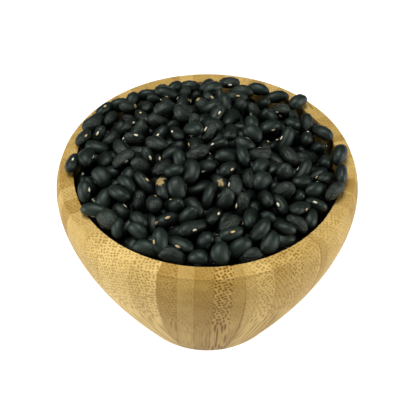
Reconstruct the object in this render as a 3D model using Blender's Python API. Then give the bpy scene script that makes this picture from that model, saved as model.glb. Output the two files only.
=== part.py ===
"""A turned bamboo bowl, heaped with dried black beans.

Metres, +Z up. The origin is the centre of the bowl's foot, on the surface that it stands on.
The front of the bowl faces -Y.
"""

import math
import random

import bmesh
import bpy
import numpy as np
from mathutils import Matrix, Vector

MM = 0.001
# Points closer than this are one
WELD = 0.01 * MM
# Edges sharper than this stay sharp
BOWL_CREASE = math.radians(40)
BEAN_CREASE = math.radians(75)

# Bowl: its outer and its inner wall are each one curve from the rim down
BOWL_HEIGHT = 81.5 * MM
RIM_OUTER_RADIUS = 58 * MM
RIM_INNER_RADIUS = 52.4 * MM
RIM_ROUNDING = 0.6 * MM
FOOT_RADIUS = 36.6 * MM
FOOT_ROUNDING = 1.4 * MM
BASE_THICKNESS = 9 * MM
OUTER_SWELL = (65.1 * MM, 70 * MM)
OUTER_FULLNESS = (54 * MM, 38.2 * MM)
INNER_SWELL = (55.5 * MM, 50 * MM)
INNER_FULLNESS = (46 * MM, BASE_THICKNESS)
WALL_STEPS = 9
BOWL_SIDES = 48

# Bean: length, width from the eye to the back, thickness
BEAN_LENGTH = 9.8 * MM
BEAN_WIDTH = 6.3 * MM
BEAN_THICKNESS = 5.1 * MM
SIZE_SPREAD = 0.09
BEAN_BEND = 0.7 * MM
BEAN_SEGMENTS = 6
BEAN_RINGS = 4
# A bean of few faces is made this much larger, so that its outline is as large as a round one's
FACET_ALLOWANCE = 1.05
# Two beans whose middles are this far apart can't touch
CLEAR_APART = 1.3 * BEAN_LENGTH

# Heap: a dome over the rim. Its edge is higher at the sides and at the back than at the front,
# and lower in one hollow on the right at the back. Angles around the bowl run from the front to
# the right.
DOME_RISE = 12.5 * MM
EDGE_RISE = 1.2 * MM
BACK_RISE = 0.8 * MM
SIDE_RISE = 1.2 * MM
HOLLOW_DEPTH = 2.5 * MM
HOLLOW_AROUND = math.radians(140)
HOLLOW_WIDTH = math.radians(22)
RIPPLE_RISE = 0.9 * MM
RIPPLE_LENGTHS = (9 * MM, 8 * MM)
BED_DEPTH = 14 * MM

# Laying the beans: how far they lean and roll, and how deep under the dome a middle has to lie
LEAN = math.radians(42)
ROLL = math.radians(60)
# Room kept to the bowl, for a bean's bend and its facets too
BOWL_CLEARANCE = 0.8 * MM
GAP = 0.3 * MM
# Beans touch at several points, so each sinks this far past the first point that it meets
SINK = 0.5 * MM
# The middles of the lower beans lie at least this far under the dome, then those of the rest
LOWER_DEPTH = 7.5 * MM
LEAST_DEPTH = 2.4 * MM
# Beans pressed in along the rim last, from this radius out, lie less deep
EDGE_RADIUS = 44 * MM
EDGE_LEAST_DEPTH = 0.5 * MM
TRIES = 12
EDGE_TRIES = 40
MISSES = 100
MOVES = 10
MOVE_ROUNDS = 3
MOVE_REACH = 1.6 * MM
MOVE_TURN = math.radians(7)
SEED = 7
# Beans along the rim: x, y, height over the rim, yaw from +X, rise of the end there and roll,
# in mm and degrees
RIM_BEANS = (
    (9.7, 47.3, 3, 5, 0, -20),
    (-0.7, 46.2, 2, 60, 0, -50),
    (-7.5, 45.8, 1.5, 0, 0, 90),
    (-14.3, 44.5, 1.8, 50, 0, 90),
    (-19.5, 41.7, 1.8, 25, 0, 60),
    (-25.7, 39.8, 2, 5, 0, 90),
    (-32, 35.5, 2.6, 60, 0, 70),
    (-37, 31.8, 2.8, 20, 0, 90),
    (-43, 27, 4, 55, 0, -70),
    (-47, 19, 3.7, 50, 0, 60),
    (-49.6, 10.3, 3.5, 65, 0, -50),
    (-47, -1.9, 4.5, 80, 0, -10),
    (-52.2, -4.8, 3.7, 78, 0, -75),
    (14.8, 41.9, 2, 0, 0, 60),
    (22.3, 42.9, 2.5, -20, 0, 80),
    (29.9, 38, 2.4, 15, 0, 60),
    (38.2, 32.7, 3.6, 40, 0, 60),
    (46.8, 13.9, 3, -40, 0, 90),
    (51.5, -0.8, 4.3, 70, 0, 90),
    (51, -11.4, 4, 82, 0, 90),
    (47.5, -20, 3.8, 45, 0, 90),
    (-46, -19.9, 3.5, 95, 30, -45),
    (-40.5, -28.8, 3, -10, 0, 30),
    (-37.9, -34.3, 2, -40, 0, 40),
    (-33, -37.2, 1, 88, 35, 10),
    (-25.6, -39.6, -3.5, 60, 0, 50),
    (-22.2, -44.4, -1, -15, 0, 60),
    (-16.1, -42.5, 1.8, -80, -35, -45),
    (-9.1, -42.9, 1, -30, 0, -30),
    (-12.5, -48, -1.5, -10, -25, 60),
    (-3, -49, -0.7, -20, 20, 30),
    (-0.4, -42, 1, 20, 50, 0),
    (4.6, -47.2, 1, 92, 35, 20),
    (11.6, -44.5, 0.5, 30, 20, 60),
    (15.9, -47.2, -2.5, 10, 0, 60),
    (22, -42.2, 0.5, -120, -20, -40),
    (28.9, -41.2, -2, 20, 0, 20),
    (34.5, -35.7, 1, -30, -25, 10),
    (39.8, -30.6, -0.5, 80, 0, 30),
    (43, -26, 1.5, -30, 0, -60),
)

# Core: it fills the bowl and follows the heap's relief from below
CORE_DEPTH = 1.4 * MM
CORE_GRID = 6.4 * MM
# A face whose normal rises at least this much counts as level
LEVEL_ENOUGH = 0.9

# Height map: its cell, and the share of a bean that has to show from above for it to be made
CELL = 0.6 * MM
LEAST_SHOWING = 0.45


def bezier(start, first, second, end, steps):
    """Points (radius, height) on a cubic curve, both ends included."""
    points = []
    for i in range(steps + 1):
        t = i / steps
        weights = ((1 - t) ** 3, 3 * (1 - t) ** 2 * t, 3 * (1 - t) * t * t, t**3)
        corners = (start, first, second, end)
        points.append(tuple(sum(w * c[k] for w, c in zip(weights, corners)) for k in (0, 1)))
    return points


def outer_wall():
    """The outer wall's curve, from the rim down to the foot."""
    rim = (RIM_OUTER_RADIUS, BOWL_HEIGHT - RIM_ROUNDING)
    foot = (FOOT_RADIUS, FOOT_ROUNDING)
    return bezier(rim, OUTER_SWELL, OUTER_FULLNESS, foot, WALL_STEPS)


def inner_wall():
    """The inner wall's curve, from the rim down to the middle of the hollow's floor."""
    rim = (RIM_INNER_RADIUS, BOWL_HEIGHT - RIM_ROUNDING)
    floor = (0, BASE_THICKNESS)
    return bezier(rim, INNER_SWELL, INNER_FULLNESS, floor, WALL_STEPS)


def turned(profile):
    """A closed bmesh: the profile, (radius, height) from axis to axis, spun about +Z."""
    mesh = bmesh.new()
    line = [mesh.verts.new((r, 0, z)) for r, z in profile]
    edges = [mesh.edges.new(pair) for pair in zip(line, line[1:])]
    bmesh.ops.spin(
        mesh,
        geom=line + edges,
        axis=(0, 0, 1),
        angle=2 * math.pi,
        steps=BOWL_SIDES,
        use_merge=True,
    )
    bmesh.ops.remove_doubles(mesh, verts=mesh.verts, dist=WELD)
    bmesh.ops.recalc_face_normals(mesh, faces=mesh.faces)
    return mesh


def material(name, colour, roughness):
    made = bpy.data.materials.new(name)
    made.use_nodes = True
    shader = made.node_tree.nodes["Principled BSDF"]
    shader.inputs["Base Color"].default_value = (*colour, 1)
    shader.inputs["Roughness"].default_value = roughness
    shader.inputs["Metallic"].default_value = 0
    made.diffuse_color = (*colour, 1)
    return made


def add_object(name, mesh, finish):
    """Turns a bmesh into a named object with its material."""
    data = bpy.data.meshes.new(name)
    mesh.to_mesh(data)
    mesh.free()
    data.materials.append(finish)
    made = bpy.data.objects.new(name, data)
    bpy.context.scene.collection.objects.link(made)
    return made


def make_bowl():
    """One turned solid: flat foot, swelling wall, flat rim and a rounded hollow."""
    profile = [(0, 0), (FOOT_RADIUS - FOOT_ROUNDING, 0)]
    profile += reversed(outer_wall())
    profile += [
        (RIM_OUTER_RADIUS - RIM_ROUNDING, BOWL_HEIGHT),
        (RIM_INNER_RADIUS + RIM_ROUNDING, BOWL_HEIGHT),
    ]
    profile += inner_wall()
    bowl = add_object("bowl", turned(profile), material("bamboo", (0.55, 0.36, 0.14), 0.5))
    bowl.data.shade_smooth()
    bowl.data.set_sharp_from_angle(angle=BOWL_CREASE)


def dome_height(x, y):
    """Height of the heap's own surface over a point, before single beans make it uneven."""
    r = np.minimum(np.hypot(x, y) / RIM_INNER_RADIUS, 1)
    around = np.arctan2(x, -y)
    edge = EDGE_RISE - BACK_RISE * np.cos(around) + SIDE_RISE * np.sin(around) ** 2
    edge -= HOLLOW_DEPTH * np.exp(-(((around - HOLLOW_AROUND) / HOLLOW_WIDTH) ** 2))
    ripple = RIPPLE_RISE * np.sin(x / RIPPLE_LENGTHS[0] + 1) * np.cos(y / RIPPLE_LENGTHS[1])
    return BOWL_HEIGHT + DOME_RISE * (1 - r**2) + edge * r**5 + ripple


class Heap:
    """A height map of what lies in the bowl, and the beans laid on it so far."""

    def __init__(self):
        self.middle = int((RIM_OUTER_RADIUS + BEAN_LENGTH) / CELL)
        line = np.arange(-self.middle, self.middle + 1) * CELL
        x, y = np.meshgrid(line, line)
        self.level = dome_height(x, y) - BED_DEPTH
        on_rim = np.hypot(x, y) > RIM_INNER_RADIUS - BOWL_CLEARANCE
        self.level[on_rim] = BOWL_HEIGHT + BOWL_CLEARANCE + SINK
        self.owner = np.full(self.level.shape, -1)
        self.beans = []

    def draw_size(self, draw):
        """One bean's size."""
        spread = [1 + draw.gauss(0, SIZE_SPREAD) for _ in range(3)]
        return Matrix.Diagonal(spread) @ Vector((BEAN_LENGTH, BEAN_WIDTH, BEAN_THICKNESS))

    def draw_place(self, draw, least_radius):
        """A random cell inside the rim, as (column, row) from the middle, and a bean's turn."""
        most_radius = RIM_INNER_RADIUS - BEAN_THICKNESS / 2
        r = math.sqrt(draw.uniform(least_radius**2, most_radius**2))
        around = draw.uniform(0, 2 * math.pi)
        yaw = Matrix.Rotation(draw.uniform(0, 2 * math.pi), 3, "Z")
        lean = Matrix.Rotation(draw.gauss(0, LEAN), 3, "Y")
        roll = Matrix.Rotation(draw.gauss(0, ROLL), 3, "X")
        place = round(r * math.cos(around) / CELL), round(r * math.sin(around) / CELL)
        return place, yaw @ lean @ roll

    def draw_move(self, draw, place, turn):
        """A place and turn close to the given ones, as a bean rocks while it settles."""
        reach = MOVE_REACH / CELL
        near = [round(k + draw.uniform(-reach, reach)) for k in place]
        if math.hypot(*near) * CELL > RIM_INNER_RADIUS - BEAN_THICKNESS / 2:
            near = place
        for axis in "XYZ":
            turn = Matrix.Rotation(draw.gauss(0, MOVE_TURN), 3, axis) @ turn
        return tuple(near), turn

    def rest(self, poses, size):
        """For each pose, a place and a turn: the bean's height at rest, and its top by cell."""
        places = np.array([place for place, _ in poses])
        turns = [turn for _, turn in poses]
        turned_by = np.array([[list(row) for row in turn] for turn in turns])
        form = np.einsum("kij,j,klj->kil", turned_by, 4 / np.array(size) ** 2, turned_by)
        form = form[:, :, :, None, None]
        half = int(math.ceil(size.x / 2 / CELL))
        dx, dy = np.meshgrid(range(-half, half + 1), range(-half, half + 1))
        x, y = dx * CELL, dy * CELL
        a = form[:, 2, 2]
        b = form[:, 0, 2] * x + form[:, 1, 2] * y
        c = form[:, 0, 0] * x**2 + 2 * form[:, 0, 1] * x * y + form[:, 1, 1] * y**2 - 1
        root = b * b - a * c
        inside = root > 0
        root = np.sqrt(np.where(inside, root, 0))
        cells = (
            places[:, 1, None, None] + self.middle + dy,
            places[:, 0, None, None] + self.middle + dx,
        )
        lift = np.where(inside, self.level[cells] + (b + root) / a, 0)
        heights = lift.max(axis=(1, 2)) - SINK
        tops = np.where(inside, heights[:, None, None] + (root - b) / a, 0)
        return heights, tops, cells

    def deepest(self, poses, size):
        """Of some poses, the one in which a bean lies deepest under the dome."""
        heights, tops, cells = self.rest(poses, size)
        places = np.array([place for place, _ in poses]) * CELL
        room = dome_height(*places.T) - heights
        best = int(np.argmax(room))
        spot = cells[0][best], cells[1][best]
        return room[best], poses[best], float(heights[best]), tops[best], spot

    def lay(self, draw, least_radius, least_depth, tries):
        """Lays one bean where it comes to lie deepest under the dome, if it finds room there."""
        size = self.draw_size(draw)
        places = [self.draw_place(draw, least_radius) for _ in range(tries)]
        found = self.deepest(places, size)
        for _ in range(MOVE_ROUNDS):
            moves = [self.draw_move(draw, *found[1]) for _ in range(MOVES)]
            found = self.deepest([found[1]] + moves, size)
        if found[0] > least_depth:
            self.put(*found[1:], size)
        return found[0] > least_depth

    def put(self, pose, height, top, spot, size):
        """Adds a bean to the heap and to its height map."""
        over = top > self.level[spot]
        self.level[spot] = np.where(over, top, self.level[spot])
        self.owner[spot] = np.where(over, len(self.beans), self.owner[spot])
        centre = Vector((pose[0][0] * CELL, pose[0][1] * CELL, height))
        self.beans.append((centre, pose[1], size))

    def rim_bean(self, draw, x, y, rise, yaw, lean, roll):
        """A bean at a given height over the rim, moved inwards where it would cross the rim."""
        turn = Matrix.Rotation(math.radians(yaw), 3, "Z")
        turn @= Matrix.Rotation(math.radians(-lean), 3, "Y")
        turn @= Matrix.Rotation(math.radians(roll), 3, "X")
        size = self.draw_size(draw)
        place = Vector((x, y)) * MM
        lift = -1
        while lift < 0:
            pose = (round(place.x / CELL), round(place.y / CELL)), turn
            _, _, height, top, spot = self.deepest([pose], size)
            lift = BOWL_HEIGHT + rise * MM - height
            place -= place.normalized() * CELL / 2
        return pose, height + lift, top + lift, spot, size

    def pour(self, draw, least_radius, least_depth, tries):
        """Lays beans until a run of them finds no room."""
        missed = 0
        while missed < MISSES:
            laid = self.lay(draw, least_radius, least_depth, tries)
            missed = 0 if laid else missed + 1

    def fill(self):
        """Pours the lower beans, puts those along the rim on them and then pours the rest."""
        draw = random.Random(SEED)
        along_rim = [self.rim_bean(draw, *place) for place in RIM_BEANS]
        self.pour(draw, 0, LOWER_DEPTH, TRIES)
        for bean in along_rim:
            self.put(*bean)
        self.pour(draw, 0, LEAST_DEPTH, TRIES)
        self.pour(draw, EDGE_RADIUS, EDGE_LEAST_DEPTH, EDGE_TRIES)

    def showing(self):
        """The beans that show from above by more than a sliver of their outline."""
        cells = np.bincount(self.owner[self.owner >= 0], minlength=len(self.beans))
        least = LEAST_SHOWING * math.pi / 4 * BEAN_LENGTH * BEAN_WIDTH / CELL**2
        return [bean for bean, seen in zip(self.beans, cells) if seen > least]

    def heart(self, x, y):
        """A height inside the bean that shows over a point, or inside the bed if none does."""
        cell = round(y / CELL) + self.middle, round(x / CELL) + self.middle
        inside = float(self.level[cell]) - CORE_DEPTH / 2
        if self.owner[cell] >= 0:
            inside = min(inside, self.beans[self.owner[cell]][0].z)
        return inside - CORE_DEPTH / 2


def make_core(heap, finish):
    """The heap's inside: it fills the bowl, and its top passes through the beans that show."""
    wall = [(max(r - GAP, 0), z + GAP) for r, z in inner_wall()[::-2]]
    edge_height = wall[-1][1]
    mesh = turned(wall + [(0, edge_height)])
    top = [f for f in mesh.faces if min(v.co.z for v in f.verts) > edge_height - GAP]
    bmesh.ops.dissolve_faces(mesh, faces=top)
    lines = int(RIM_INNER_RADIUS / CORE_GRID)
    for axis in (Vector((1, 0, 0)), Vector((0, 1, 0))):
        for i in range(-lines, lines + 1):
            top = [f for f in mesh.faces if f.normal.z > LEVEL_ENOUGH]
            parts = list(dict.fromkeys(part for f in top for part in (f, *f.edges, *f.verts)))
            place = axis * i * CORE_GRID
            bmesh.ops.bisect_plane(mesh, geom=parts, plane_co=place, plane_no=axis)
    for vert in mesh.verts:
        if all(f.normal.z > LEVEL_ENOUGH for f in vert.link_faces):
            vert.co.z = heap.heart(vert.co.x, vert.co.y)
    return add_object("beans", mesh, finish)


def add_bean(mesh, centre, turn, size):
    """Adds one bean to a bmesh: a ball drawn out to the bean's size and bent round its eye."""
    along_x = Matrix.Rotation(math.pi / 2, 4, "Y")
    ball = bmesh.ops.create_uvsphere(
        mesh, u_segments=BEAN_SEGMENTS, v_segments=BEAN_RINGS, radius=0.5, matrix=along_x
    )
    for vert in ball["verts"]:
        bend = BEAN_BEND * (0.5 - 4 * vert.co.x**2)
        point = Vector([a * b * FACET_ALLOWANCE for a, b in zip(vert.co, size)])
        point.y += bend
        vert.co = turn @ point + centre


def make_batches(beans, finish):
    """Objects that each hold beans clear of each other, in a collection of their own."""
    batches = []
    for bean in beans:
        for batch in batches:
            if all((bean[0] - other[0]).length > CLEAR_APART for other in batch):
                batch.append(bean)
                break
        else:
            batches.append([bean])
    group = bpy.data.collections.new("single beans")
    for i, batch in enumerate(batches):
        mesh = bmesh.new()
        for bean in batch:
            add_bean(mesh, *bean)
        data = bpy.data.meshes.new(f"batch {i}")
        mesh.to_mesh(data)
        mesh.free()
        data.materials.append(finish)
        group.objects.link(bpy.data.objects.new(f"batch {i}", data))
    return group


def fuse(core, group):
    """Joins a collection's objects to the core by one union, applies it and removes them."""
    bpy.context.scene.collection.children.link(group)
    union = core.modifiers.new("union", "BOOLEAN")
    union.operation = "UNION"
    union.operand_type = "COLLECTION"
    union.collection = group
    union.solver = "EXACT"
    bpy.context.view_layer.update()
    fused = core.evaluated_get(bpy.context.evaluated_depsgraph_get())
    mesh = bmesh.new()
    mesh.from_mesh(fused.to_mesh())
    fused.to_mesh_clear()
    core.modifiers.remove(union)
    for piece in list(group.objects):
        bpy.data.objects.remove(piece)
    bpy.data.collections.remove(group)
    return mesh


def largest_body(mesh):
    """Keeps a bmesh's largest connected shell, so that sealed hollows and loose scraps go."""
    unseen = set(mesh.verts)
    shells = []
    while unseen:
        shell, edge = set(), {unseen.pop()}
        while edge:
            shell |= edge
            edge = {e.other_vert(v) for v in edge for e in v.link_edges} - shell
        unseen -= shell
        shells.append(shell)
    keep = max(shells, key=len)
    bmesh.ops.delete(mesh, geom=[v for v in mesh.verts if v not in keep], context="VERTS")


def make_beans():
    """The heap as one solid: a core with the beans that show fused on."""
    heap = Heap()
    heap.fill()
    finish = material("black bean skin", (0.02, 0.022, 0.022), 0.45)
    core = make_core(heap, finish)
    mesh = fuse(core, make_batches(heap.showing(), finish))
    largest_body(mesh)
    bmesh.ops.triangulate(mesh, faces=mesh.faces)
    mesh.to_mesh(core.data)
    mesh.free()
    core.data.shade_smooth()
    core.data.set_sharp_from_angle(angle=BEAN_CREASE)


def main():
    for old in list(bpy.data.objects):
        bpy.data.objects.remove(old)
    make_bowl()
    make_beans()


main()
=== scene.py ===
import math
import random
from collections import namedtuple

import bmesh
import bpy
import numpy as np
from mathutils import Matrix, Vector, noise


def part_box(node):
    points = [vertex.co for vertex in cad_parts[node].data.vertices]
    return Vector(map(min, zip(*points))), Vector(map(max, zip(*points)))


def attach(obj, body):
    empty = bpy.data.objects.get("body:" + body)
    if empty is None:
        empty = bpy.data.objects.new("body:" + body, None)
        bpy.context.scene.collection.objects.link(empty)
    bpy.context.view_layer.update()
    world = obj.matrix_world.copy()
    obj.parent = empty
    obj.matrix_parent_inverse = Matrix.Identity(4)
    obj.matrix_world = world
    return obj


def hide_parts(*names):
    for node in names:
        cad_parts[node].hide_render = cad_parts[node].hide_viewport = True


# A turned bamboo bowl, heaped above its rim with dried black beans. Everything is in metres,
# +Z up, with the front of the bowl towards -Y.
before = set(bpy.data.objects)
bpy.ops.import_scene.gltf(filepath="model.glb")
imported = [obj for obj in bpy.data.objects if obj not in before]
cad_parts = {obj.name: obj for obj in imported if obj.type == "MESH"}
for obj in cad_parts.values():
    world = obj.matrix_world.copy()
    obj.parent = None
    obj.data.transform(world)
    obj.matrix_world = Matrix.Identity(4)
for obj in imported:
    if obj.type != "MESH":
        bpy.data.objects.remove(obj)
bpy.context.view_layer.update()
MM = 0.001


# Camera
# It stands in front of the bowl and looks down on it, near enough for the bowl to narrow a lot
# towards its foot.
CAMERA_ELEVATION = math.radians(47.1)
CAMERA_DISTANCE = 290 * MM
CAMERA_AIM = Vector((0.3 * MM, 0, 54.7 * MM))
CAMERA_LENS = 59.2

camera = bpy.data.objects.new("camera", bpy.data.cameras.new("camera"))
camera.data.sensor_width = 36
camera.data.lens = CAMERA_LENS
camera.data.clip_start = 10 * MM
towards_camera = Vector((0, -math.cos(CAMERA_ELEVATION), math.sin(CAMERA_ELEVATION)))
camera.location = CAMERA_AIM + CAMERA_DISTANCE * towards_camera
camera.rotation_euler = towards_camera.to_track_quat("Z", "Y").to_euler()
bpy.context.scene.collection.objects.link(camera)
bpy.context.scene.camera = camera


# Studio
# A white sheet to stand on, lit from below so that it stays white, dim white surroundings, and a
# softbox overhead and on each side.
SOFTBOX_SIZE = 0.4
SURROUNDINGS_STRENGTH = 0.02
SHEET_SIZE = 3
SHEET_GLOW = 0.9
SHEET_GREY = (0.35, 0.35, 0.35, 1)
SHEET_ROUGHNESS = 0.9


def add_softbox(name, place, watts):
    light = bpy.data.objects.new(name, bpy.data.lights.new(name, "AREA"))
    light.data.shape = "DISK"
    light.data.size = SOFTBOX_SIZE
    light.data.energy = watts
    light.location = place
    light.rotation_euler = Vector(place).to_track_quat("Z", "Y").to_euler()
    bpy.context.scene.collection.objects.link(light)


add_softbox("overhead softbox", (-0.1, -0.05, 0.8), 6.5)
add_softbox("left softbox", (-0.85, -0.2, 0.3), 5.8)
add_softbox("right softbox", (0.85, -0.2, 0.3), 6.2)

surroundings = bpy.data.worlds.new("white studio")
surroundings.use_nodes = True
sky = surroundings.node_tree.nodes["Background"].inputs
sky["Color"].default_value = (1, 1, 1, 1)
sky["Strength"].default_value = SURROUNDINGS_STRENGTH
bpy.context.scene.world = surroundings
bpy.context.scene.view_settings.view_transform = "Standard"

floor_mesh = bmesh.new()
bmesh.ops.create_grid(floor_mesh, x_segments=1, y_segments=1, size=SHEET_SIZE)
floor = bpy.data.objects.new("floor", bpy.data.meshes.new("floor"))
floor_mesh.to_mesh(floor.data)
floor_mesh.free()
bpy.context.scene.collection.objects.link(floor)
sheet = bpy.data.materials.new("white sheet lit from below")
sheet.use_nodes = True
sheet_shader = sheet.node_tree.nodes["Principled BSDF"].inputs
sheet_shader["Base Color"].default_value = SHEET_GREY
sheet_shader["Roughness"].default_value = SHEET_ROUGHNESS
sheet_shader["Emission Color"].default_value = (1, 1, 1, 1)
sheet_shader["Emission Strength"].default_value = SHEET_GLOW
floor.data.materials.append(sheet)


# Bowl
# Turned on a lathe from twelve mitred boards, each glued up from upright strips of bamboo, then
# sanded and oiled. The ends of the fibres show as dots on the rim and high on the wall, and the
# fibres themselves as streaks lower down.
BOWL_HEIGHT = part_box("bowl")[1].z
RIM_ROUNDING = 0.6 * MM
RIM_OUTER_RADIUS = 58 * MM
RIM_INNER_RADIUS = 52.4 * MM
OUTER_SWELL = (65.1 * MM, 70 * MM)
OUTER_FULLNESS = (54 * MM, 38.2 * MM)
FOOT_RADIUS = 36.6 * MM
FOOT_ROUNDING = 1.4 * MM
# How far in from the foot's corner its rounding bends, as a share of the rounding
FOOT_CORNER = 0.3
BASE_THICKNESS = 9 * MM
INNER_SWELL = (55.5 * MM, 50 * MM)
INNER_FULLNESS = (46 * MM, BASE_THICKNESS)
WALL_STEPS = 44
EDGE_STEPS = 4
BOWL_SIDES = 192
MERGE_DISTANCE = 0.005 * MM

BOARDS = 12
BOARD_ANGLE = 2 * math.pi / BOARDS
FIRST_MITRE = math.radians(-17)
# The boards reach a little farther out than the bowl's widest place
BOARD_REACH = 62 * MM
BOARD_SEED = 3
STRIP_WIDTH = 6.4 * MM
STRIP_WIDTHS = (0.85, 1.15)
# Fibres run along the lower wall, and lean out more between these two heights and above them
FIBRE_BEND_START = 48 * MM
FIBRE_BEND_END = 68 * MM
FIBRE_LEAN = 0.4
FIBRE_LEAN_AT_RIM = 1
# How far along its fibre a point is: these shares of its way out and up, and a shift by board
FIBRE_OUT = 0.6
FIBRE_UP = 0.8
FIBRE_SHIFT = 0.3
# The front board's strips lean this much to the left towards the foot, the others' either way
FRONT_LEAN = -0.029
LEAN_SPREAD = 0.015
# How dark the boards are and how strong their dots, from the one to the right of the front one
BOARD_TONES = (0.42, 0.45, 0.6, 0.6, 0.55, 0.5, 0.6, 0.55, 0.75, 0.55, 0.12)
BOARD_DOTS = (0.75, 0.5, 0.4, 0.5, 0.6, 0.5, 0.4, 0.6, 0.5, 0.5, 0.8)
# How wide the dark line is at the mitre to the left of each board, in mm, from the front one on
MITRE_WIDTHS = (0.4, 0.05, 0.9, 0.2, 0.3, 0.2, 0.4, 0.2, 0.2, 0.3, 0.2, 0.2)
# How much darker or lighter than its board a strip is, and its dots stronger or weaker
TONE_SPREAD = (-0.2, 0.25)
DOTS_SPREAD = (-0.15, 0.15)
# How far along the fibres joints lie, in mm; none shows on the boards beside the front one
JOINTS = (30, 150)
PLAIN_BOARDS = (1, BOARDS - 1)

# A strip's edges, how dark it is, how strong its dots are at either edge, and where a joint of
# the bamboo crosses it, measured along its fibres
Strip = namedtuple("Strip", "left right tone dots_left dots_right joint")
# A joint as far along as this is outside the bowl
NO_JOINT = 1
FRONT_STRIPS = (
    Strip(-17 * MM, -8.3 * MM, 0.78, 0.45, 0.75, NO_JOINT),
    Strip(-8.3 * MM, -2.2 * MM, 0.63, 0.3, 0.5, 66 * MM),
    Strip(-2.2 * MM, 4.4 * MM, 0.86, 0.3, 0.7, NO_JOINT),
    Strip(4.4 * MM, 11 * MM, 0.64, 1.3, 1.2, NO_JOINT),
    Strip(11 * MM, 17 * MM, 0.71, 0.5, 0.45, NO_JOINT),
)


def bezier(start, first, second, end, steps):
    """Points (radius, height) on a cubic curve, without its last point."""
    points = []
    for i in range(steps):
        t = i / steps
        weights = ((1 - t) ** 3, 3 * (1 - t) ** 2 * t, 3 * (1 - t) * t * t, t**3)
        corners = (start, first, second, end)
        points.append(tuple(sum(w * c[k] for w, c in zip(weights, corners)) for k in (0, 1)))
    return points


def bowl_profile():
    """The bowl's section, from the axis under the foot to the axis in the hollow."""
    foot_flat, foot = (FOOT_RADIUS - FOOT_ROUNDING, 0), (FOOT_RADIUS, FOOT_ROUNDING)
    foot_corner = (FOOT_RADIUS - FOOT_CORNER * FOOT_ROUNDING, 0)
    outer = (RIM_OUTER_RADIUS, BOWL_HEIGHT - RIM_ROUNDING)
    outer_flat = (RIM_OUTER_RADIUS - RIM_ROUNDING, BOWL_HEIGHT)
    outer_corner = (RIM_OUTER_RADIUS, BOWL_HEIGHT)
    inner_flat = (RIM_INNER_RADIUS + RIM_ROUNDING, BOWL_HEIGHT)
    inner = (RIM_INNER_RADIUS, BOWL_HEIGHT - RIM_ROUNDING)
    inner_corner = (RIM_INNER_RADIUS, BOWL_HEIGHT)
    middle = (0, BASE_THICKNESS)
    profile = [(0, 0)]
    profile += bezier(foot_flat, foot_corner, foot_corner, foot, EDGE_STEPS)
    profile += bezier(foot, OUTER_FULLNESS, OUTER_SWELL, outer, WALL_STEPS)
    profile += bezier(outer, outer_corner, outer_corner, outer_flat, EDGE_STEPS)
    profile += bezier(outer_flat, outer_flat, inner_flat, inner_flat, EDGE_STEPS)
    profile += bezier(inner_flat, inner_corner, inner_corner, inner, EDGE_STEPS)
    profile += bezier(inner, INNER_SWELL, INNER_FULLNESS, middle, WALL_STEPS)
    return profile + [middle]


def turned(profile, sides, start_angle=0):
    """A closed bmesh: the profile, (radius, height) from axis to axis, spun about +Z."""
    mesh = bmesh.new()
    across = Vector((math.cos(start_angle), math.sin(start_angle), 0))
    line = [mesh.verts.new(across * r + Vector((0, 0, z))) for r, z in profile]
    edges = [mesh.edges.new(pair) for pair in zip(line, line[1:])]
    bmesh.ops.spin(
        mesh,
        geom=line + edges,
        axis=(0, 0, 1),
        angle=2 * math.pi,
        steps=sides,
        use_merge=True,
    )
    bmesh.ops.remove_doubles(mesh, verts=mesh.verts, dist=MERGE_DISTANCE)
    bmesh.ops.recalc_face_normals(mesh, faces=mesh.faces)
    return mesh


def board_strips(board, draw):
    """A board's strips, from the left."""
    if board == 0:
        return FRONT_STRIPS
    half = BOARD_REACH * math.sin(BOARD_ANGLE / 2)
    left = -half - draw.uniform(0, STRIP_WIDTH)
    strips = []
    while left < half:
        right = left + STRIP_WIDTH * draw.uniform(*STRIP_WIDTHS)
        tone = BOARD_TONES[board - 1] + draw.uniform(*TONE_SPREAD)
        dots = BOARD_DOTS[board - 1] + draw.uniform(*DOTS_SPREAD)
        joint = NO_JOINT if board in PLAIN_BOARDS else draw.uniform(*JOINTS) * MM
        dots_right = dots + draw.uniform(*DOTS_SPREAD)
        strips.append(Strip(left, right, tone, dots, dots_right, joint))
        left = right
    return strips


def fibre_shift(height):
    """How much farther out a fibre is at a height than at the bowl's foot."""
    reach = FIBRE_BEND_END - FIBRE_BEND_START
    bent = min(max((height - FIBRE_BEND_START) / reach, 0), 1)
    above = max(height - FIBRE_BEND_END, 0)
    more = reach * (bent**3 - bent**4 / 2) + above
    return FIBRE_LEAN * height + (FIBRE_LEAN_AT_RIM - FIBRE_LEAN) * more


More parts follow.
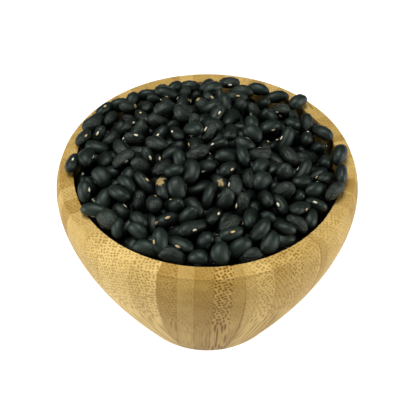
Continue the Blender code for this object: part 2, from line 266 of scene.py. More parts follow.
def cut_boards(mesh):
    """Cuts the turned shape along its strips, and notes at each corner what its wood is like."""
    draw = random.Random(BOARD_SEED)
    place = mesh.loops.layers.float_vector.new("wood_place")
    seams = mesh.loops.layers.float_vector.new("wood_seams")
    look = mesh.loops.layers.float_vector.new("wood_look")
    boards = {}
    for face in mesh.faces:
        middle = face.calc_center_median()
        around = math.atan2(middle.x, -middle.y) - FIRST_MITRE
        boards.setdefault(int(around // BOARD_ANGLE) % BOARDS, []).append(face)
    top = Vector((0, 0, BOWL_HEIGHT))
    for board, faces in sorted(boards.items()):
        around = FIRST_MITRE + (board + 0.5) * BOARD_ANGLE
        outwards = Vector((math.sin(around), -math.cos(around), 0))
        lean = FRONT_LEAN if board == 0 else draw.gauss(0, LEAN_SPREAD)
        across = Vector((math.cos(around), math.sin(around), lean))
        strips = board_strips(board, draw)
        for strip in strips[1:]:
            parts = list(dict.fromkeys(p for f in faces for p in (f, *f.edges, *f.verts)))
            cut = bmesh.ops.bisect_plane(
                mesh, geom=parts, plane_co=top + across * strip.left, plane_no=across
            )
            faces = [p for p in cut["geom"] if isinstance(p, bmesh.types.BMFace)]
        for face in faces:
            at = across.dot(face.calc_center_median() - top)
            strip = [s for s in strips if s.left <= at or s is strips[0]][-1]
            for loop in face.loops:
                point = loop.vert.co
                u, out = across.dot(point - top), outwards.dot(point)
                along = FIBRE_OUT * out + FIBRE_UP * point.z
                share = (u - strip.left) / (strip.right - strip.left)
                dots = strip.dots_left + (strip.dots_right - strip.dots_left) * share
                mitre = out * math.sin(BOARD_ANGLE / 2) - abs(u) * math.cos(BOARD_ANGLE / 2)
                mitre /= MITRE_WIDTHS[board if u < 0 else (board + 1) % BOARDS] * MM
                loop[place] = (u, out - fibre_shift(point.z), along + board * FIBRE_SHIFT)
                loop[seams] = (u - strip.left, strip.right - u, mitre)
                loop[look] = (strip.tone, dots, along - strip.joint)
    return mesh


def add_piece(name, mesh, material, replaced):
    """Makes a bmesh a smooth piece that rides on the bowl's body and stands for a CAD node."""
    data = bpy.data.meshes.new(name)
    mesh.to_mesh(data)
    mesh.free()
    data.materials.append(material)
    data.shade_smooth()
    piece = bpy.data.objects.new(name, data)
    bpy.context.scene.collection.objects.link(piece)
    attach(piece, "root")
    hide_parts(replaced)


class Finish:
    """A material, and a short way to write its nodes."""

    def __init__(self, name):
        self.material = bpy.data.materials.new(name)
        self.material.use_nodes = True
        self.tree = self.material.node_tree
        self.shader = self.tree.nodes["Principled BSDF"]

    def add(self, kind, inputs, output=0, **settings):
        """Adds a node, sets it, feeds its inputs and returns one of its outputs."""
        node = self.tree.nodes.new("ShaderNode" + kind)
        for key, value in settings.items():
            setattr(node, key, value)
        for key, value in inputs.items():
            self.feed(node.inputs[key], value)
        return node.outputs[output]

    def feed(self, socket, value):
        """Links an output to a socket, or sets the socket to a plain value."""
        if isinstance(value, bpy.types.NodeSocket):
            self.tree.links.new(value, socket)
        else:
            socket.default_value = value

    def math(self, operation, a, b=0, c=0):
        return self.add("Math", {0: a, 1: b, 2: c}, operation=operation)

    def blend(self, factor, a, b):
        """Mixes two colours."""
        return self.add("Mix", {0: factor, 6: a, 7: b}, output=2, data_type="RGBA")

    def fade(self, value, low, high, to_low=0, to_high=1):
        """Maps a value from one range to another, smoothly and within its ends."""
        inputs = {0: value, 1: low, 2: high, 3: to_low, 4: to_high}
        return self.add("MapRange", inputs, interpolation_type="SMOOTHSTEP")

    def attribute(self, name):
        return self.add("Attribute", {}, output=1, attribute_name=name)

    def parts(self, vector):
        """A vector's three numbers."""
        return self.add("SeparateXYZ", {0: vector}).node.outputs

    def stretched(self, vector, scale, turn=(0, 0, 0)):
        return self.add("Mapping", {"Vector": vector, "Scale": scale, "Rotation": turn})

    def noise(self, vector, scale, detail):
        return self.add("TexNoise", {"Vector": vector, "Scale": scale, "Detail": detail})

    def bump(self, height, distance, under=None):
        """A bump normal from a height, on top of another bump where one is given."""
        inputs = {"Height": height, "Distance": distance}
        if under is not None:
            inputs["Normal"] = under
        return self.add("Bump", inputs)


LIGHT_BAMBOO = (0.61, 0.435, 0.155, 1)
DARK_BAMBOO = (0.28, 0.165, 0.032, 1)
FIBRE_BROWN = (0.17, 0.075, 0.004, 1)
FINE_DOTS_PER_METRE = (1080, 950, 1)
COARSE_DOTS_PER_METRE = (760, 690, 1)
DOT_ROW_TURN = math.radians(25)
DOT_DISORDER = 0.5
GRAIN_PER_METRE = (2400, 1900, 60)
CLOUDS_PER_METRE = (130, 170, 30)
PATCHES_PER_METRE = (500, 500, 45)
# How much grain and clouds each change the tone
TONE_CHANGE = 0.5
FINE_DOT_SIZE = 0.26
COARSE_DOT_SIZES = (0.2, 0.37)
GLUE_WIDTH = 0.2 * MM
GLUE_STRENGTH = 0.35
MITRE_STRENGTH = 0.5
JOINT_WAVE = 2 * MM
JOINT_WIDTHS = (0.4 * MM, 0.1 * MM)
JOINT_STRENGTH = 0.8
BAMBOO_ROUGHNESS = (0.48, 0.68)
BAMBOO_SHINE = 0.1
PORE_DEPTH = 0.05 * MM


def fibre_ends(wood, place, per_metre, size):
    """Dots where the ends of fibres show, in loose rows."""
    rows = wood.stretched(place, per_metre, (0, 0, DOT_ROW_TURN))
    ends = wood.add(
        "TexVoronoi",
        {"Vector": rows, "Scale": 1, "Randomness": DOT_DISORDER},
        voronoi_dimensions="2D",
    )
    return wood.fade(wood.math("DIVIDE", ends, size), 1.4, 0.5)


def bamboo():
    """Oiled bamboo: strips of differing tone, brown fibres, fine grain and thin glue lines."""
    wood = Finish("oiled bamboo")
    place = wood.attribute("wood_place")
    tone, dots, from_joint = wood.parts(wood.attribute("wood_look"))
    grain = wood.noise(wood.stretched(place, GRAIN_PER_METRE), 1, 3)
    cloud = wood.noise(wood.stretched(place, CLOUDS_PER_METRE), 1, 2)
    for uneven in (cloud, grain):
        darker = wood.math("SUBTRACT", tone, TONE_CHANGE / 2)
        tone = wood.math("MULTIPLY_ADD", uneven, TONE_CHANGE, darker)
    colour = wood.blend(wood.fade(tone, -0.15, 1.15), LIGHT_BAMBOO, DARK_BAMBOO)

    patches = wood.noise(wood.stretched(place, PATCHES_PER_METRE), 1, 1)
    patchy = wood.fade(patches, 0.3, 0.7, 0.75, 1.15)
    fine_size = wood.math("MULTIPLY", patchy, FINE_DOT_SIZE)
    fine = fibre_ends(wood, place, FINE_DOTS_PER_METRE, fine_size)
    coarse_size = wood.math("MULTIPLY", patchy, wood.fade(dots, 0, 1.3, *COARSE_DOT_SIZES))
    coarse = fibre_ends(wood, place, COARSE_DOTS_PER_METRE, coarse_size)
    coarse = wood.math("MULTIPLY", coarse, wood.fade(dots, 0.1, 1.2, 0.1, 1))
    fine = wood.math("MULTIPLY", fine, wood.fade(dots, 0.4, 0.9, 0.28, 0.1))
    colour = wood.blend(fine, colour, FIBRE_BROWN)
    colour = wood.blend(coarse, colour, FIBRE_BROWN)

    from_left, from_right, from_mitre = wood.parts(wood.attribute("wood_seams"))
    from_glue = wood.math("MINIMUM", from_left, from_right)
    glue = wood.fade(from_glue, GLUE_WIDTH, 0, 0, GLUE_STRENGTH)
    frayed = wood.math("MULTIPLY_ADD", grain, 1.6, wood.math("SUBTRACT", from_mitre, 0.5))
    mitre = wood.fade(frayed, 1, 0.3, 0, MITRE_STRENGTH)
    wavy = wood.math("MULTIPLY_ADD", cloud, JOINT_WAVE, from_joint)
    joint = wood.fade(wood.math("ABSOLUTE", wavy), *JOINT_WIDTHS, 0, JOINT_STRENGTH)
    lines = wood.math("MAXIMUM", wood.math("MAXIMUM", glue, mitre), joint)
    colour = wood.blend(lines, colour, FIBRE_BROWN)
    wood.feed(wood.shader.inputs["Base Color"], colour)
    wood.feed(wood.shader.inputs["Roughness"], wood.fade(grain, 0, 1, *BAMBOO_ROUGHNESS))
    wood.shader.inputs["Specular IOR Level"].default_value = BAMBOO_SHINE
    pores = wood.bump(coarse, -PORE_DEPTH, wood.bump(grain, PORE_DEPTH))
    wood.feed(wood.shader.inputs["Normal"], pores)
    return wood.material


bowl_mesh = turned(bowl_profile(), BOWL_SIDES, FIRST_MITRE - math.pi / 2)
add_piece("bamboo_bowl", cut_boards(bowl_mesh), bamboo(), "bowl")


# Beans
# Dried black beans, poured in and heaped up. Each is laid on those under it, by a rule that looks
# for the deepest place and lets the bean rock a little before it settles.
BEAN_LENGTH = 9.8 * MM
BEAN_WIDTH = 6.3 * MM
BEAN_THICKNESS = 5.1 * MM
SIZE_SPREAD = 0.09
DOME_RISE = 12.5 * MM
EDGE_RISE = 1.2 * MM
BACK_RISE = 0.8 * MM
SIDE_RISE = 1.2 * MM
HOLLOW_DEPTH = 2.5 * MM
HOLLOW_AROUND = math.radians(140)
HOLLOW_WIDTH = math.radians(22)
RIPPLE_RISE = 0.9 * MM
RIPPLE_LENGTHS = (9 * MM, 8 * MM)
BED_DEPTH = 14 * MM
LEAN = math.radians(42)
ROLL = math.radians(60)
BOWL_CLEARANCE = 0.8 * MM
SINK = 0.5 * MM
# The middles of the lower beans lie at least this far under the dome, then those of the rest
LOWER_DEPTH = 7.5 * MM
LEAST_DEPTH = 2.4 * MM
# Beans pressed in along the rim last, from this radius out, lie less deep
EDGE_RADIUS = 44 * MM
EDGE_LEAST_DEPTH = 0.5 * MM
TRIES = 12
EDGE_TRIES = 40
MISSES = 100
MOVES = 10
MOVE_ROUNDS = 3
MOVE_REACH = 1.6 * MM
MOVE_TURN = math.radians(7)
CELL = 0.6 * MM
HEAP_SEED = 7
# Beans along the rim: x, y, height over the rim, yaw from +X, rise of the end there and roll,
# in mm and degrees
RIM_BEANS = (
    (9.7, 47.3, 3, 5, 0, -20),
    (-0.7, 46.2, 2, 60, 0, -50),
    (-7.5, 45.8, 1.5, 0, 0, 90),
    (-14.3, 44.5, 1.8, 50, 0, 90),
    (-19.5, 41.7, 1.8, 25, 0, 60),
    (-25.7, 39.8, 2, 5, 0, 90),
    (-32, 35.5, 2.6, 60, 0, 70),
    (-37, 31.8, 2.8, 20, 0, 90),
    (-43, 27, 4, 55, 0, -70),
    (-47, 19, 3.7, 50, 0, 60),
    (-49.6, 10.3, 3.5, 65, 0, -50),
    (-47, -1.9, 4.5, 80, 0, -10),
    (-52.2, -4.8, 3.7, 78, 0, -75),
    (14.8, 41.9, 2, 0, 0, 60),
    (22.3, 42.9, 2.5, -20, 0, 80),
    (29.9, 38, 2.4, 15, 0, 60),
    (38.2, 32.7, 3.6, 40, 0, 60),
    (46.8, 13.9, 3, -40, 0, 90),
    (51.5, -0.8, 4.3, 70, 0, 90),
    (51, -11.4, 4, 82, 0, 90),
    (47.5, -20, 3.8, 45, 0, 90),
    (-46, -19.9, 3.5, 95, 30, -45),
    (-40.5, -28.8, 3, -10, 0, 30),
    (-37.9, -34.3, 2, -40, 0, 40),
    (-33, -37.2, 1, 88, 35, 10),
    (-25.6, -39.6, -3.5, 60, 0, 50),
    (-22.2, -44.4, -1, -15, 0, 60),
    (-16.1, -42.5, 1.8, -80, -35, -45),
    (-9.1, -42.9, 1, -30, 0, -30),
    (-12.5, -48, -1.5, -10, -25, 60),
    (-3, -49, -0.7, -20, 20, 30),
    (-0.4, -42, 1, 20, 50, 0),
    (4.6, -47.2, 1, 92, 35, 20),
    (11.6, -44.5, 0.5, 30, 20, 60),
    (15.9, -47.2, -2.5, 10, 0, 60),
    (22, -42.2, 0.5, -120, -20, -40),
    (28.9, -41.2, -2, 20, 0, 20),
    (34.5, -35.7, 1, -30, -25, 10),
    (39.8, -30.6, -0.5, 80, 0, 30),
    (43, -26, 1.5, -30, 0, -60),
)


def dome_height(x, y):
    """Height of the heap's own surface over a point, before single beans make it uneven."""
    r = np.minimum(np.hypot(x, y) / RIM_INNER_RADIUS, 1)
    around = np.arctan2(x, -y)
    edge = EDGE_RISE - BACK_RISE * np.cos(around) + SIDE_RISE * np.sin(around) ** 2
    edge -= HOLLOW_DEPTH * np.exp(-(((around - HOLLOW_AROUND) / HOLLOW_WIDTH) ** 2))
    ripple = RIPPLE_RISE * np.sin(x / RIPPLE_LENGTHS[0] + 1) * np.cos(y / RIPPLE_LENGTHS[1])
    return BOWL_HEIGHT + DOME_RISE * (1 - r**2) + edge * r**5 + ripple


class Heap:
    """A height map of what lies in the bowl, and the beans laid on it so far."""

    def __init__(self):
        self.middle = int((RIM_OUTER_RADIUS + BEAN_LENGTH) / CELL)
        line = np.arange(-self.middle, self.middle + 1) * CELL
        x, y = np.meshgrid(line, line)
        self.level = dome_height(x, y) - BED_DEPTH
        on_rim = np.hypot(x, y) > RIM_INNER_RADIUS - BOWL_CLEARANCE
        self.level[on_rim] = BOWL_HEIGHT + BOWL_CLEARANCE + SINK
        self.owner = np.full(self.level.shape, -1)
        self.beans = []

    def draw_size(self, draw):
        """One bean's size."""
        spread = [1 + draw.gauss(0, SIZE_SPREAD) for _ in range(3)]
        return Matrix.Diagonal(spread) @ Vector((BEAN_LENGTH, BEAN_WIDTH, BEAN_THICKNESS))

    def draw_place(self, draw, least_radius):
        """A random cell inside the rim, as (column, row) from the middle, and a bean's turn."""
        most_radius = RIM_INNER_RADIUS - BEAN_THICKNESS / 2
        r = math.sqrt(draw.uniform(least_radius**2, most_radius**2))
        around = draw.uniform(0, 2 * math.pi)
        yaw = Matrix.Rotation(draw.uniform(0, 2 * math.pi), 3, "Z")
        lean = Matrix.Rotation(draw.gauss(0, LEAN), 3, "Y")
        roll = Matrix.Rotation(draw.gauss(0, ROLL), 3, "X")
        place = round(r * math.cos(around) / CELL), round(r * math.sin(around) / CELL)
        return place, yaw @ lean @ roll

    def draw_move(self, draw, place, turn):
        """A place and turn close to the given ones, as a bean rocks while it settles."""
        reach = MOVE_REACH / CELL
        near = [round(k + draw.uniform(-reach, reach)) for k in place]
        if math.hypot(*near) * CELL > RIM_INNER_RADIUS - BEAN_THICKNESS / 2:
            near = place
        for axis in "XYZ":
            turn = Matrix.Rotation(draw.gauss(0, MOVE_TURN), 3, axis) @ turn
        return tuple(near), turn

    def rest(self, poses, size):
        """For each pose, a place and a turn: the bean's height at rest, and its top by cell."""
        places = np.array([place for place, _ in poses])
        turns = [turn for _, turn in poses]
        turned_by = np.array([[list(row) for row in turn] for turn in turns])
        form = np.einsum("kij,j,klj->kil", turned_by, 4 / np.array(size) ** 2, turned_by)
        form = form[:, :, :, None, None]
        half = int(math.ceil(size.x / 2 / CELL))
        dx, dy = np.meshgrid(range(-half, half + 1), range(-half, half + 1))
        x, y = dx * CELL, dy * CELL
        a = form[:, 2, 2]
        b = form[:, 0, 2] * x + form[:, 1, 2] * y
        c = form[:, 0, 0] * x**2 + 2 * form[:, 0, 1] * x * y + form[:, 1, 1] * y**2 - 1
        root = b * b - a * c
        inside = root > 0
        root = np.sqrt(np.where(inside, root, 0))
        cells = (
            places[:, 1, None, None] + self.middle + dy,
            places[:, 0, None, None] + self.middle + dx,
        )
        lift = np.where(inside, self.level[cells] + (b + root) / a, 0)
        heights = lift.max(axis=(1, 2)) - SINK
        tops = np.where(inside, heights[:, None, None] + (root - b) / a, 0)
        return heights, tops, cells

    def deepest(self, poses, size):
        """Of some poses, the one in which a bean lies deepest under the dome."""
        heights, tops, cells = self.rest(poses, size)
        places = np.array([place for place, _ in poses]) * CELL
        room = dome_height(*places.T) - heights
        best = int(np.argmax(room))
        spot = cells[0][best], cells[1][best]
        return room[best], poses[best], float(heights[best]), tops[best], spot

    def lay(self, draw, least_radius, least_depth, tries):
        """Lays one bean where it comes to lie deepest under the dome, if it finds room there."""
        size = self.draw_size(draw)
        places = [self.draw_place(draw, least_radius) for _ in range(tries)]
        found = self.deepest(places, size)
        for _ in range(MOVE_ROUNDS):
            moves = [self.draw_move(draw, *found[1]) for _ in range(MOVES)]
            found = self.deepest([found[1]] + moves, size)
        if found[0] > least_depth:
            self.put(*found[1:], size)
        return found[0] > least_depth

    def put(self, pose, height, top, spot, size):
        """Adds a bean to the heap and to its height map."""
        over = top > self.level[spot]
        self.level[spot] = np.where(over, top, self.level[spot])
        self.owner[spot] = np.where(over, len(self.beans), self.owner[spot])
        centre = Vector((pose[0][0] * CELL, pose[0][1] * CELL, height))
        self.beans.append((centre, pose[1], size))

    def rim_bean(self, draw, x, y, rise, yaw, lean, roll):
        """A bean at a given height over the rim, moved inwards where it would cross the rim."""
        turn = Matrix.Rotation(math.radians(yaw), 3, "Z")
        turn @= Matrix.Rotation(math.radians(-lean), 3, "Y")
        turn @= Matrix.Rotation(math.radians(roll), 3, "X")
        size = self.draw_size(draw)
        place = Vector((x, y)) * MM
        lift = -1
        while lift < 0:
            pose = (round(place.x / CELL), round(place.y / CELL)), turn
            _, _, height, top, spot = self.deepest([pose], size)
            lift = BOWL_HEIGHT + rise * MM - height
            place -= place.normalized() * CELL / 2
        return pose, height + lift, top + lift, spot, size

    def pour(self, draw, least_radius, least_depth, tries):
        """Lays beans until a run of them finds no room."""
        missed = 0
        while missed < MISSES:
            laid = self.lay(draw, least_radius, least_depth, tries)
            missed = 0 if laid else missed + 1

    def fill(self):
        """Pours the lower beans, puts those along the rim on them and then pours the rest."""
        draw = random.Random(HEAP_SEED)
        along_rim = [self.rim_bean(draw, *place) for place in RIM_BEANS]
        self.pour(draw, 0, LOWER_DEPTH, TRIES)
        for bean in along_rim:
            self.put(*bean)
        self.pour(draw, 0, LEAST_DEPTH, TRIES)
        self.pour(draw, EDGE_RADIUS, EDGE_LEAST_DEPTH, EDGE_TRIES)

    def shows_at(self, x, y):
        """The number of the bean that shows over a point, and its height there."""
        cell = round(y / CELL) + self.middle, round(x / CELL) + self.middle
        return int(self.owner[cell]), float(self.level[cell])


heap = Heap()
heap.fill()

# A bean's own form and look: how much it bends and tapers, where it is dented, how brown it is,
# and how dry and wrinkled
Bean = namedtuple("Bean", "centre turn size bend taper dents tone dryness")
BEAN_BEND = 0.7 * MM
BEND_SPREAD = 0.35
TAPER_SPREAD = 0.05
END_FULLNESS = 2.6
# The very ends of a bean reach this much farther
TIP = 0.02
# Dents are this deep, times the bean's dryness and a little more
DENT_DEPTH = 0.35 * MM
LEAST_DENT = 0.4
DENTS_PER_METRE = 330
LOOK_SEED = 11
BEAN_SEGMENTS = 12
BEAN_RINGS = 6


def draw_bean(centre, turn, size, draw):
    """A laid bean with its own form and look."""
    bend = BEAN_BEND * (1 + draw.gauss(0, BEND_SPREAD))
    dents = Vector((draw.random(), draw.random(), draw.random()))
    # Any tone is as likely, but most beans are plump and few are dry
    look = draw.random(), draw.random() ** 3
    return Bean(centre, turn, size, bend, draw.gauss(0, TAPER_SPREAD), dents, *look)


def on_bean(bean, direction):
    """Where a bean's skin is in a direction from its middle, in the bean's own directions."""
    x, y, z = direction
    rounder = max(1 - x * x, 0.001)
    full = math.sqrt(max(1 - abs(x) ** END_FULLNESS, 0) / rounder) * (1 + bean.taper * x)
    ends = 1 + TIP * (abs(x) > 0.99)
    point = Vector((x * bean.size.x * ends, y * bean.size.y * full, z * bean.size.z * full)) / 2
    dent = max(noise.noise((point + bean.dents) * DENTS_PER_METRE), 0)
    point -= Vector(direction) * DENT_DEPTH * (LEAST_DENT + bean.dryness) * dent
    point.y += bean.bend * (0.5 - x * x)
    return point


def copies_of(pattern, count, layer_names):
    """A bmesh with many copies of a small mesh, each copy's points, and layers for its looks."""
    data = bpy.data.meshes.new("pattern")
    pattern.to_mesh(data)
    pattern.free()
    mesh = bmesh.new()
    for _ in range(count):
        mesh.from_mesh(data)
    layers = [mesh.verts.layers.float_vector.new(name) for name in layer_names]
    mesh.verts.ensure_lookup_table()
    each = len(data.vertices)
    bpy.data.meshes.remove(data)
    return mesh, [mesh.verts[i * each : (i + 1) * each] for i in range(count)], layers


# Skin is painted darker deep between the beans and greyer at the top of the heap: painted shade,
# by how far a point lies under the heap's dome
PAINTED_SHADE_START_DEPTH = 0.5 * MM
PAINTED_SHADE_FULL_DEPTH = 4.8 * MM
LEAST_TONE = 0.6
# Places where the black skin has come off: x, y and radius
BARE_PLACES = (
    (-17.6 * MM, -18.1 * MM, 1.9 * MM),
    (-18.3 * MM, -34.4 * MM, 0.8 * MM),
    (4.8 * MM, -18.2 * MM, 1.2 * MM),
    (8.7 * MM, -42.7 * MM, 0.8 * MM),
    (-3.8 * MM, 31.9 * MM, 1 * MM),
    (-7.6 * MM, 34.4 * MM, 0.8 * MM),
    (-29.7 * MM, 28.3 * MM, 0.8 * MM),
)


def painted_lightness(point):
    """Painted shade on the skin: 1 at the top of the heap, fading to 0 deep between the beans."""
    depth = float(dome_height(point.x, point.y)) - point.z
    return 1 - min(max((depth - PAINTED_SHADE_START_DEPTH) / (PAINTED_SHADE_FULL_DEPTH - PAINTED_SHADE_START_DEPTH), 0), 1)


def make_beans(beans, bare):
    """All the beans as one mesh, with what their skin needs to know kept on the points."""
    ball = bmesh.new()
    along_x = Matrix.Rotation(math.pi / 2, 4, "Y")
    bmesh.ops.create_uvsphere(
        ball, u_segments=BEAN_SEGMENTS, v_segments=BEAN_RINGS, radius=1, matrix=along_x
    )
    mesh, copies, layers = copies_of(ball, len(beans), ("skin_place", "skin_look_and_painted_shade"))
    place, look = layers
    for i, (bean, verts) in enumerate(zip(beans, copies)):
        for vert in verts:
            point = on_bean(bean, vert.co)
            vert[place] = point + bean.dents
            vert.co = bean.turn @ point + bean.centre
            # The skin's tone: the bean's own random tone, darkened deep between the beans as
            # painted shade
            tone = painted_lightness(vert.co) * (LEAST_TONE + (1 - LEAST_TONE) * bean.tone)
            vert[look] = (tone, bean.dryness, 1 if i in bare else 0)
    return mesh


SKIN_BLACK = (0.001, 0.002, 0.0016, 1)
SKIN_GREY = (0.0062, 0.012, 0.0086, 1)
SKIN_BROWN = (0.015, 0.0145, 0.0112, 1)
SHEEN_TINT = (0.85, 1, 0.9, 1)
BARE_TAN = (0.4, 0.3, 0.12, 1)
BARE_BROWN = (0.1, 0.06, 0.025, 1)
MOTTLES_PER_METRE = 420
SKIN_ROUGHNESS = (0.46, 0.58)
SKIN_SHINE = 0.33
WRINKLES_PER_METRE = (300, 800, 800)
WRINKLE_DEPTH = 0.9 * MM
# This much of the wrinkles' depth comes with a bean's dryness, and this much is on every bean
WRINKLE_SHARES = (1.1, 0.1)
# A bare place ends where the way from its middle, in its radii, and its raggedness add up to this
RAGS_PER_METRE = 700
RAGGEDNESS = 3
BARE_EDGE = (2.5, 2.35)


def bean_skin(name, bare_places):
    """Dull black skin with a soft shine, greyer and wrinkled on dry beans, bare in places, and
    darker deep between the beans as painted shade.
    """
    skin = Finish(name)
    place = skin.attribute("skin_place")
    tone, dryness, has_bare = skin.parts(skin.attribute("skin_look_and_painted_shade"))
    mottle = skin.noise(place, MOTTLES_PER_METRE, 3)
    # The tone carries painted shade deep between the beans as well as each bean's own tone
    greyness_with_painted_shade = skin.math("MULTIPLY", tone, skin.fade(mottle, 0.2, 0.8, 0.6, 1))
    worn = skin.math("MULTIPLY", greyness_with_painted_shade, dryness)
    colour = skin.blend(worn, skin.blend(greyness_with_painted_shade, SKIN_BLACK, SKIN_GREY), SKIN_BROWN)
    if bare_places:
        where = skin.add("TexCoord", {}, output=3)
        ragged = skin.noise(place, RAGS_PER_METRE, 4)
        nearest = 2
        for centre, radius in bare_places:
            away = skin.add("VectorMath", {0: where, 1: centre}, output=1, operation="DISTANCE")
            nearest = skin.math("MINIMUM", nearest, skin.math("DIVIDE", away, radius))
        edge = skin.math("MULTIPLY_ADD", ragged, RAGGEDNESS, nearest)
        off = skin.math("MULTIPLY", skin.fade(edge, *BARE_EDGE), has_bare)
        colour = skin.blend(off, colour, skin.blend(ragged, BARE_TAN, BARE_BROWN))
    skin.feed(skin.shader.inputs["Base Color"], colour)
    skin.feed(skin.shader.inputs["Roughness"], skin.fade(mottle, 0.2, 0.8, *SKIN_ROUGHNESS))
    skin.shader.inputs["Specular IOR Level"].default_value = SKIN_SHINE
    skin.shader.inputs["Specular Tint"].default_value = SHEEN_TINT
    wrinkles = skin.noise(skin.stretched(place, WRINKLES_PER_METRE), 1, 3)
    share = skin.math("MULTIPLY_ADD", dryness, *WRINKLE_SHARES)
    deep = skin.math("MULTIPLY", wrinkles, share)
    skin.feed(skin.shader.inputs["Normal"], skin.bump(deep, WRINKLE_DEPTH))
    return skin.material


look_draw = random.Random(LOOK_SEED)
beans = [draw_bean(*laid, look_draw) for laid in heap.beans]
bare_beans = set()
bare_spots = []
for x, y, radius in BARE_PLACES:
    number, height = heap.shows_at(x, y)
    bare_beans.add(number)
    bare_spots.append((Vector((x, y, height)), radius))
skin_material = bean_skin("black bean skin", bare_spots)
add_piece("black_beans", make_beans(beans, bare_beans), skin_material, "beans")


# Bean eyes
# Each bean has a small pale scar on the inner side of its bend, where it grew on its pod. It is
# dry and matt, and bulges a little out of the skin.
EYE_LENGTH = 2.3 * MM
EYE_WIDTH = 1.05 * MM
EYE_THICKNESS = 0.7 * MM
EYE_PROUD = 0.22 * MM
EYE_SPREAD = 0.12
# The share of tan eyes, and how much the cream ones may darken
TAN_EYES = 0.3
MOST_CREAM_TONE = 0.3
EYE_SPECKS_PER_METRE = 1500
EYE_TONE_CHANGE = 0.5
EYE_ROUGHNESS = 0.65
EYE_RELIEF = 0.05 * MM


def make_eyes(beans, draw):
    ball = bmesh.new()
    bmesh.ops.create_uvsphere(ball, u_segments=8, v_segments=4, radius=0.5)
    mesh, copies, (look,) = copies_of(ball, len(beans), ("eye_look",))
    for bean, verts in zip(beans, copies):
        middle = on_bean(bean, (0, -1, 0))
        middle.y += EYE_THICKNESS / 2 - EYE_PROUD
        size = 1 + draw.gauss(0, EYE_SPREAD)
        tone = 1 if draw.random() < TAN_EYES else draw.random() * MOST_CREAM_TONE
        for vert in verts:
            x, y, z = vert.co * size
            point = middle + Vector((x * EYE_LENGTH, y * EYE_THICKNESS, z * EYE_WIDTH))
            vert[look] = (tone, 0, 0)
            vert.co = bean.turn @ point + bean.centre
    return mesh


EYE_CREAM = (0.6, 0.56, 0.4, 1)
EYE_TAN = (0.42, 0.3, 0.12, 1)


def eye_scar():
    """Dry, matt scar, cream or tan, a little uneven."""
    scar = Finish("bean eye")
    tone = scar.parts(scar.attribute("eye_look"))[0]
    place = scar.add("TexCoord", {}, output=3)
    uneven = scar.noise(place, EYE_SPECKS_PER_METRE, 2)
    darker = scar.math("SUBTRACT", tone, EYE_TONE_CHANGE / 2)
    tone = scar.math("MULTIPLY_ADD", uneven, EYE_TONE_CHANGE, darker)
    colour = scar.blend(scar.fade(tone, -0.1, 1), EYE_CREAM, EYE_TAN)
    scar.feed(scar.shader.inputs["Base Color"], colour)
    scar.shader.inputs["Roughness"].default_value = EYE_ROUGHNESS
    scar.feed(scar.shader.inputs["Normal"], scar.bump(uneven, EYE_RELIEF))
    return scar.material


add_piece("bean_eyes", make_eyes(beans, look_draw), eye_scar(), "beans")


# Eye rings
# The skin rises in a low rim round each eye. It is made of the same skin as the rest of the bean,
# and stands out of it by less than half its own width.
RING_WIDTH = 0.45 * MM
RING_PROUD = 0.2 * MM
# How far outside the eye's edge the middle of the rim lies, and how much less long it is
RING_GAP = 0.1 * MM
RING_STRETCH = 0.92


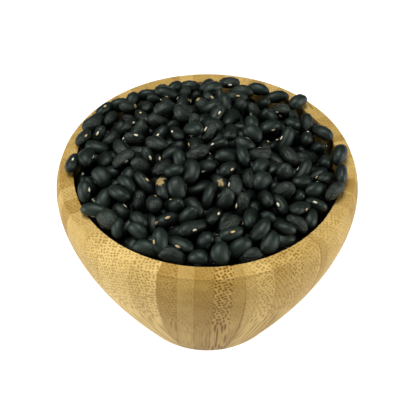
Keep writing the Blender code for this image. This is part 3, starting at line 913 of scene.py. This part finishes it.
def make_eye_rings(beans):
    ring = bmesh.new()
    section = bmesh.ops.create_circle(
        ring,
        segments=6,
        radius=RING_WIDTH / 2,
        matrix=Matrix.Translation((EYE_WIDTH / 2 + RING_GAP, 0, 0)),
    )["verts"]
    edges = list({e for v in section for e in v.link_edges})
    bmesh.ops.spin(
        ring,
        geom=section + edges,
        axis=(0, 1, 0),
        angle=2 * math.pi,
        steps=12,
        use_merge=True,
    )
    bmesh.ops.recalc_face_normals(ring, faces=ring.faces)
    mesh, copies, layers = copies_of(ring, len(beans), ("skin_place", "skin_look_and_painted_shade"))
    place, look = layers
    for bean, verts in zip(beans, copies):
        middle = on_bean(bean, (0, -1, 0))
        middle.y += RING_WIDTH / 2 - RING_PROUD
        for vert in verts:
            x, y, z = vert.co
            point = middle + Vector((x * EYE_LENGTH / EYE_WIDTH * RING_STRETCH, y, z))
            vert[place] = point + bean.dents
            vert.co = bean.turn @ point + bean.centre
            # The rings are darker deep between the beans: painted shade
            vert[look] = (painted_lightness(vert.co) * LEAST_TONE, 0, 0)
    return mesh


add_piece("bean_eye_rings", make_eye_rings(beans), skin_material, "beans")


# Core
# The beans deep in the bowl, which show only as darkness between those on top. They are one body
# under the top layers, kept just clear of the bowl's wall and floor.
CORE_COVER = 1 * MM
CORE_CLEARANCE = 0.3 * MM
CORE_STEPS = 12
CORE_RINGS = 24
CORE_SIDES = 72
DEEP_BLACK = (0.0005, 0.0007, 0.0006, 1)
DEEP_GREY = (0.002, 0.003, 0.0025, 1)
DEEP_SHINE = 0.05
LUMPS_PER_METRE = 150
LUMP_DEPTH = 2 * MM


def make_core():
    wall = bezier(
        (0, BASE_THICKNESS),
        INNER_FULLNESS,
        INNER_SWELL,
        (RIM_INNER_RADIUS, BOWL_HEIGHT - RIM_ROUNDING),
        CORE_STEPS,
    )
    edge_height = BOWL_HEIGHT - BED_DEPTH
    wall = [
        (max(r - CORE_CLEARANCE, 0), z + CORE_CLEARANCE) for r, z in wall if z < edge_height
    ]
    edge_radius, edge_height = wall[-1]
    wall += [(edge_radius * (1 - i / CORE_RINGS), edge_height) for i in range(1, CORE_RINGS + 1)]
    mesh = turned(wall, CORE_SIDES)
    for vert in mesh.verts:
        if vert.co.z > edge_height - CORE_COVER:
            x, y = vert.co.x, vert.co.y
            vert.co.z = float(dome_height(x, y)) - BED_DEPTH + CORE_COVER
    return mesh


def deep_skin():
    """Bean skin in deep shadow."""
    deep = Finish("bean skin in shadow")
    place = deep.add("TexCoord", {}, output=3)
    lumps = deep.noise(place, LUMPS_PER_METRE, 2)
    colour = deep.blend(lumps, DEEP_BLACK, DEEP_GREY)
    deep.feed(deep.shader.inputs["Base Color"], colour)
    deep.shader.inputs["Roughness"].default_value = 0.9
    deep.shader.inputs["Specular IOR Level"].default_value = DEEP_SHINE
    deep.feed(deep.shader.inputs["Normal"], deep.bump(lumps, LUMP_DEPTH))
    return deep.material


add_piece("bean_core", make_core(), deep_skin(), "beans")
